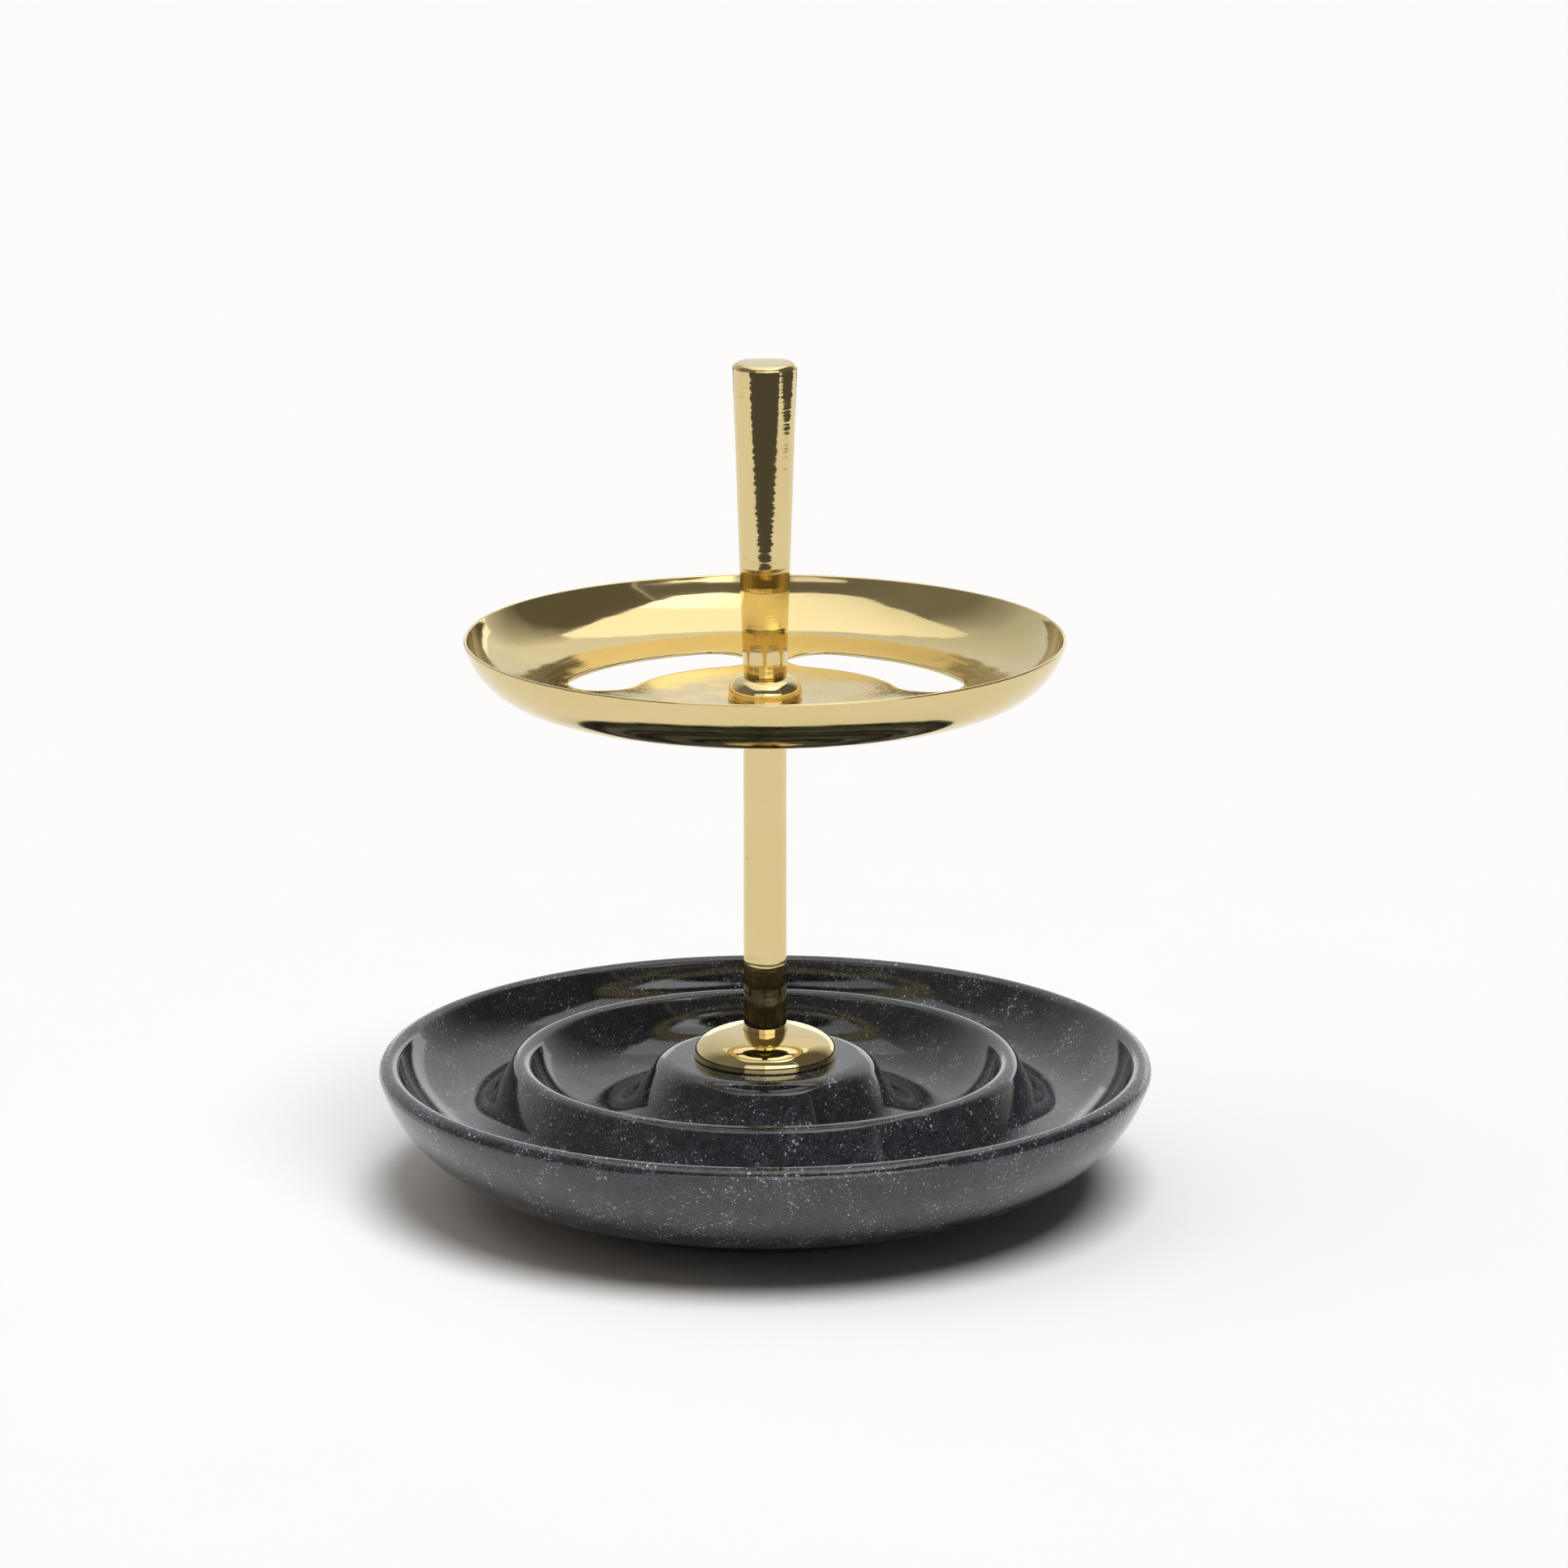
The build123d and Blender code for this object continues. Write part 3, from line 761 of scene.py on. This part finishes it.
collar_shoulder = (COLLAR_RADIUS, COLLAR_LEVEL + COLLAR_BAND)
collar = turn("domed_collar", (
    [(HOLE_RADIUS, COLLAR_LEVEL), (COLLAR_RADIUS - COLLAR_FOOT_EDGE, COLLAR_LEVEL)]
    + [(COLLAR_RADIUS, COLLAR_LEVEL + COLLAR_FOOT_EDGE)]
    + dome(collar_shoulder, COLLAR_RADIUS - HANDLE_FOOT_RADIUS, COLLAR_HEIGHT - COLLAR_BAND)
    + [(HOLE_RADIUS, COLLAR_LEVEL + COLLAR_HEIGHT)]
), polished_brass)
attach(collar, "root")
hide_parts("collar")

# Handle. Solid brass bar turned to a long taper, wider at the top, with a rounded top edge,
# and screwed down on the collar by the stud in its foot.

HANDLE_FOOT = 96.7
HANDLE_LENGTH = 56.8
HANDLE_TOP_RADIUS = 5.75
HANDLE_TOP_ROUND = 1.0
HANDLE_FOOT_EDGE = 0.3
HANDLE_BORE_END = 108.7

handle_top = HANDLE_FOOT + HANDLE_LENGTH
taper = math.degrees(math.atan2(
    HANDLE_TOP_RADIUS - HANDLE_FOOT_RADIUS, HANDLE_LENGTH - HANDLE_FOOT_EDGE,
))
round_run = HANDLE_TOP_ROUND * math.tan(math.radians(90 + taper) / 2)
crown = (HANDLE_TOP_RADIUS - round_run, handle_top - HANDLE_TOP_ROUND)
handle = turn("tapered_handle", (
    [(0, HANDLE_BORE_END), (SCREW_BORE, HANDLE_BORE_END), (SCREW_BORE, HANDLE_FOOT)]
    + [(HANDLE_FOOT_RADIUS - HANDLE_FOOT_EDGE, HANDLE_FOOT)]
    + [(HANDLE_FOOT_RADIUS, HANDLE_FOOT + HANDLE_FOOT_EDGE)]
    + bend(crown, HANDLE_TOP_ROUND, -taper, 90)
    + [(0, handle_top)]
), polished_brass)
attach(handle, "root")
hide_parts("handle")

# Table and light. A sheet of white paper lies under the stand, with one large soft box overhead, in
# front and to the right. Beyond the paper's edges the room is dim, which only shows as dark bands
# in the polished brass and stone.

TABLE_HALF = 6.0              # in metres, as are all places below
PAPER_LEFT, PAPER_RIGHT = -0.8, 0.65
PAPER_FRONT, PAPER_BACK = -0.41, 0.75
ROOM_HALF = 3.0
BOX_LEVEL = 0.52
BOX_SIDE = 0.31
BOX_FRONT, BOX_MIDDLE, BOX_BACK = -0.36, -0.08, 0.33
BOX_CORNER = (0.14, 0.17)     # rounding of the soft box's front corners, across and along
WORLD_LIGHT = 0.03            # strength of the white studio as a light


def flat_stage(name, corners, faces, material):
    """Stage surface from corners in metres."""
    mesh = bpy.data.meshes.new(name)
    mesh.from_pydata(corners, [], faces)
    mesh.materials.append(material)
    surface = bpy.data.objects.new(name, mesh)
    bpy.context.scene.collection.objects.link(surface)
    return surface


# Matt white paper: uncoated, so without any gloss, and faintly uneven in tone.
paper, tree = new_material("matt_white_paper")
place = add(tree, "ShaderNodeTexCoord").outputs["Object"]
tooth = add(tree, "ShaderNodeTexNoise", {"Vector": place, "Scale": 1 / (40 * MM), "Detail": 3.0})
white = add(tree, "ShaderNodeMix", {
    0: tooth.outputs["Fac"], 6: linear("#fbfbfb"), 7: linear("#fdfdfd"),
}, data_type="RGBA")
shader = add(tree, "ShaderNodeBsdfPrincipled", {
    "Base Color": white.outputs[2], "Roughness": 0.9, "Specular IOR Level": 0.0,
})
add(tree, "ShaderNodeOutputMaterial", {"Surface": shader.outputs["BSDF"]})


def square(half, level):
    """Corners of a level square about the stand's axis."""
    return [(-half, -half, level), (half, -half, level), (half, half, level), (-half, half, level)]


flat_stage("white_table", square(TABLE_HALF, 0), [(0, 1, 2, 3)], paper)


def upright(start, end, low, high):
    """Corners of an upright card between two points of the plan and two levels."""
    return [(*start, low), (*end, low), (*end, high), (*start, high)]


def card(name, start_tone, end_tone, strength, corners, faces=None):
    """Card that shows in reflections alone, its tone even from its first corner to its second."""
    run = Vector(corners[1]) - Vector(corners[0])
    even_run, tree = new_material(name + "_tone")
    place = add(tree, "ShaderNodeTexCoord").outputs["Object"]
    from_start = add(tree, "ShaderNodeVectorMath", {0: place, 1: corners[0]}, operation="SUBTRACT")
    along = add(tree, "ShaderNodeVectorMath", {
        0: from_start.outputs[0], 1: run / run.length_squared,
    }, operation="DOT_PRODUCT")
    tone = add(tree, "ShaderNodeMix", {
        0: along.outputs["Value"], 6: linear(start_tone), 7: linear(end_tone),
    }, data_type="RGBA")
    shader = add(tree, "ShaderNodeEmission", {"Color": tone.outputs[2], "Strength": strength})
    add(tree, "ShaderNodeOutputMaterial", {"Surface": shader.outputs["Emission"]})
    surface = flat_stage(name, corners, faces or [range(len(corners))], even_run)
    surface.visible_camera = False
    surface.visible_diffuse = False
    surface.visible_shadow = False
    surface.visible_transmission = False
    surface.visible_volume_scatter = False


# The dim table round the paper, a millimetre up, and the walls of the room round it.
card("dark_surround", "#565553", "#565553", 1.0, square(ROOM_HALF, MM) + [
    (PAPER_LEFT, PAPER_FRONT, MM), (PAPER_RIGHT, PAPER_FRONT, MM),
    (PAPER_RIGHT, PAPER_BACK, MM), (PAPER_LEFT, PAPER_BACK, MM),
], [(0, 1, 5, 4), (1, 2, 6, 5), (2, 3, 7, 6), (3, 0, 4, 7)])
card("dark_room_right", "#6a6661", "#6a6661", 1.0, upright((1.5, -1.05), (1.5, 0.75), 0.0, 2.65))
card("dim_room_right", "#6a6661", "#f4f4f2", 1.0, upright((1.5, 0.75), (1.2, 1.75), 0.0, 2.1))
card("dim_room_front", "#757473", "#84827f", 1.0, upright((-1.05, -1.6), (-1.5, -0.87), 0.0, 2.6))
card("dim_room_left", "#84827f", "#84827f", 1.0, upright((-1.5, -0.87), (-1.5, 0.13), 0.0, 2.6))
card("grey_room_left", "#84827f", "#ced0d2", 1.0, upright((-1.5, 0.13), (-1.5, 1.07), 0.0, 2.5))
card("grey_wall_left", "#ced0d2", "#eeeff1", 1.0, upright((-1.5, 1.07), (-0.1, 1.5), 0.0, 2.3))
card("pale_wall_back", "#eeeff1", "#f9fafb", 1.0, upright((-0.1, 1.5), (0.9, 1.5), 0.0, 0.9))
card("bright_sheet_end", "#ffffff", "#ffffff", 1.5, upright((-0.36, 1.4), (1.15, 1.4), 0.0, 0.36))
card("dark_room_front", "#757473", "#757473", 1.0, upright((-1.05, -1.6), (2.2, -1.6), 0.92, 4.2))
card("pale_room_front", "#ffffff", "#ffffff", 1.1, upright((-0.95, -1.65), (0.0, -1.65), 0.0, 0.95))
card("bright_room_front", "#ffffff", "#ffffff", 2.0, upright((0.0, -1.65), (2.0, -1.65), 0.0, 0.95))

# The soft box's cloth, brightest in front on the right, where its bulb is, and even at the joins.
box_corner = [
    (BOX_SIDE + BOX_CORNER[0] * (x - 1), BOX_FRONT + BOX_CORNER[1] * (y + 1), BOX_LEVEL)
    for x, y in bend((0, 0), 1, -90, 0, 10)
]
card("soft_box_front", "#cfcfcf", "#ffffff", 2.4, (
    [(0, BOX_FRONT, BOX_LEVEL)] + box_corner
    + [(BOX_SIDE, BOX_MIDDLE, BOX_LEVEL), (0, BOX_MIDDLE, BOX_LEVEL)]
))
card("soft_box_back", "#ffffff", "#ffffff", 1.5, [
    (0, BOX_MIDDLE, BOX_LEVEL), (BOX_SIDE, BOX_MIDDLE, BOX_LEVEL),
    (BOX_SIDE, BOX_BACK, BOX_LEVEL), (0, BOX_BACK, BOX_LEVEL),
])
card("soft_box_left", "#dadada", "#ffffff", 1.5, (
    [(-BOX_SIDE, BOX_BACK, BOX_LEVEL), (0, BOX_BACK, BOX_LEVEL), (0, BOX_FRONT, BOX_LEVEL)]
    + [(-x, y, z) for x, y, z in box_corner]
))

# White studio: white to the eye and in reflections, with little light of its own.
world = bpy.data.worlds.new("white_studio")
world.use_nodes = True
world.node_tree.nodes.clear()
bpy.context.scene.world = world
tree = world.node_tree
path = add(tree, "ShaderNodeLightPath").outputs
seen = add(tree, "ShaderNodeMath", {
    0: path["Is Camera Ray"], 1: path["Is Glossy Ray"],
}, operation="MAXIMUM")
seen = add(tree, "ShaderNodeMath", {
    0: seen.outputs[0], 1: path["Is Transmission Ray"],
}, operation="MAXIMUM")
level = add(tree, "ShaderNodeMapRange", {"Value": seen.outputs[0], "To Min": WORLD_LIGHT})
sky = add(tree, "ShaderNodeBackground", {"Color": linear("#fcfcfb"), "Strength": level.outputs[0]})
add(tree, "ShaderNodeOutputWorld", {"Surface": sky.outputs["Background"]})


def soft_light(name, source, colour, spread, strength):
    """Wide, even light from a direction. In reflections the cards and the studio stand for it."""
    lamp = bpy.data.lights.new(name, "SUN")
    lamp.angle = math.radians(spread)
    lamp.energy = strength
    lamp.color = linear(colour)[:3]
    light = bpy.data.objects.new(name, lamp)
    light.rotation_euler = (-Vector(source)).to_track_quat("-Z", "Y").to_euler()
    light.visible_glossy = False
    bpy.context.scene.collection.objects.link(light)


soft_light("soft_box_light", (0.17, -0.404, 1.0), "#ffffff", 34, 2.42)
soft_light("ceiling_light", (-0.25, 0.1, 1.0), "#fcfdff", 70, 0.72)
soft_light("left_light", (-1.0, -0.25, 0.75), "#ffe6c8", 50, 0.32)

# Camera, at the photograph's place: a little above the stand and a good metre in front of it,
# looking down on it through a long lens.

PICTURE = 1932                # width and height, in pixels
FOCAL_PIXELS = 7705.0
CAMERA_PLACE = (0.0034, -1.0897, 0.3461)
CAMERA_DIP = 13.885           # degrees below level

camera_data = bpy.data.cameras.new("camera")
camera_data.sensor_width = 36.0
camera_data.lens = camera_data.sensor_width * FOCAL_PIXELS / PICTURE
camera_data.clip_start = 0.05
camera = bpy.data.objects.new("camera", camera_data)
camera.location = CAMERA_PLACE
camera.rotation_euler = (math.radians(90 - CAMERA_DIP), 0, 0)
bpy.context.scene.collection.objects.link(camera)
bpy.context.scene.camera = camera
bpy.context.scene.view_settings.view_transform = "Standard"
